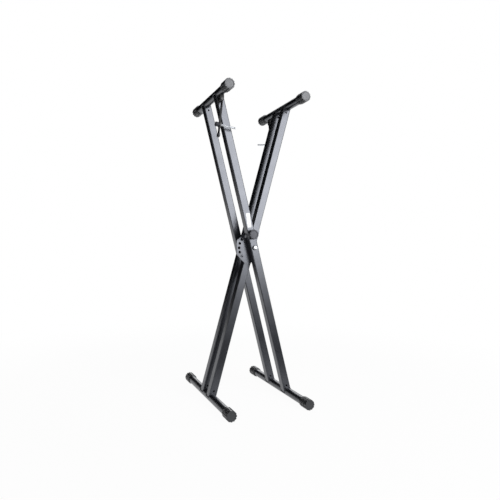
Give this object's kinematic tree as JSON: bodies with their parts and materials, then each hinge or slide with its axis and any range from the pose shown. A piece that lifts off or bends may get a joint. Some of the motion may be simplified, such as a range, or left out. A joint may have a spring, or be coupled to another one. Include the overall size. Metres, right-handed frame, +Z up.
{
  "type": "folding keyboard stand",
  "caption": "Folding X-shaped keyboard stand of paired square steel tubes with round capped foot and top bars, a sprung lock pin on a holed plate, and two swinging screws under the top bars.",
  "frame": {"origin": "on the floor, midway between the four feet, under the crossing of the legs", "axes": "+X across the way the legs spread, to the right as seen from the front; +Y along the bars, from front to rear; +Z up"},
  "size_m": [0.2876, 0.42, 0.9738],
  "materials": {
    "black_paint": "semi-gloss black stove enamel on steel",
    "cap_rubber": "moulded black rubber, satin",
    "zinc_plate": "bright zinc plate",
    "black_plastic": "moulded black plastic, satin",
    "nylon": "black nylon",
    "spring_steel": "drawn spring wire"
  },
  "bodies": {
    "outer_leg": {"outer_front_tube": "black_paint", "outer_rear_tube": "black_paint", "outer_foot_bar": "black_paint", "outer_foot_front_cap": "cap_rubber", "outer_foot_rear_cap": "cap_rubber", "outer_top_bar": "black_paint", "outer_top_front_cap": "cap_rubber", "outer_top_rear_cap": "cap_rubber", "front_pivot_bolt": "zinc_plate", "front_pivot_washer": "zinc_plate", "front_pivot_nut": "zinc_plate", "front_thrust_washer": "nylon", "rear_pivot_bolt": "zinc_plate", "rear_pivot_washer": "zinc_plate", "rear_pivot_nut": "zinc_plate", "rear_thrust_washer": "nylon", "lock_guide": "zinc_plate", "lock_spring": "spring_steel", "front_stay_bracket": "black_paint", "front_stay_pin": "zinc_plate"},
    "inner_leg": {"inner_front_tube": "black_paint", "inner_rear_tube": "black_paint", "inner_foot_bar": "black_paint", "inner_foot_front_cap": "cap_rubber", "inner_foot_rear_cap": "cap_rubber", "inner_top_bar": "black_paint", "inner_top_front_cap": "cap_rubber", "inner_top_rear_cap": "cap_rubber", "locking_plate": "black_paint", "rear_stay_bracket": "black_paint", "rear_stay_pin": "zinc_plate"},
    "lock_pin_and_knob": {"lock_pin": "zinc_plate", "lock_knob": "black_plastic"},
    "front_stay": {"front_strip": "black_paint", "front_strip_tip": "cap_rubber"},
    "front_screw_carriage": {"front_screw_washer": "zinc_plate", "front_slot_nut": "zinc_plate"},
    "front_thumbscrew_and_knob": {"front_thumbscrew": "zinc_plate", "front_thumb_knob": "black_plastic"},
    "rear_stay": {"rear_strip": "black_paint", "rear_strip_tip": "cap_rubber"},
    "rear_screw_carriage": {"rear_screw_washer": "zinc_plate", "rear_slot_nut": "zinc_plate"},
    "rear_thumbscrew_and_knob": {"rear_thumbscrew": "zinc_plate", "rear_thumb_knob": "black_plastic"}
  },
  "joints": [
    {"name": "fold", "type": "hinge", "parent": "outer_leg", "child": "inner_leg", "pos_m": [0, 0, 0.48689], "axis": [0, 1, 0], "range_deg": [-24, 114]},
    {"name": "lock_pull", "type": "slide", "parent": "outer_leg", "child": "lock_pin_and_knob", "axis": [0, -1, 0], "range_m": [-0.0043, 0.0015], "stiffness_N_per_m": 400, "springref_m": -0.0043, "deforming": ["lock_spring"]},
    {"name": "front_stay_swing", "type": "hinge", "parent": "outer_leg", "child": "front_stay", "pos_m": [-0.12617, -0.0875, 0.93248], "axis": [0, -1, 0], "range_deg": [-20, 95]},
    {"name": "front_screw_slide", "type": "slide", "parent": "front_stay", "child": "front_screw_carriage", "axis": [0.0958, 0, 0.9954], "range_m": [-0.017, 0.048]},
    {"name": "front_screw_turn", "type": "hinge", "parent": "front_screw_carriage", "child": "front_thumbscrew_and_knob", "pos_m": [-0.10173, -0.0875, 0.85377], "axis": [0.9954, 0, -0.0958], "continuous": true},
    {"name": "rear_stay_swing", "type": "hinge", "parent": "inner_leg", "child": "rear_stay", "pos_m": [0.12617, 0.0875, 0.93248], "axis": [0, 1, 0], "range_deg": [-20, 95]},
    {"name": "rear_screw_slide", "type": "slide", "parent": "rear_stay", "child": "rear_screw_carriage", "axis": [-0.0958, 0, 0.9954], "range_m": [-0.017, 0.048]},
    {"name": "rear_screw_turn", "type": "hinge", "parent": "rear_screw_carriage", "child": "rear_thumbscrew_and_knob", "pos_m": [0.10173, 0.0875, 0.85377], "axis": [-0.9954, 0, -0.0958], "continuous": true}
  ]
}
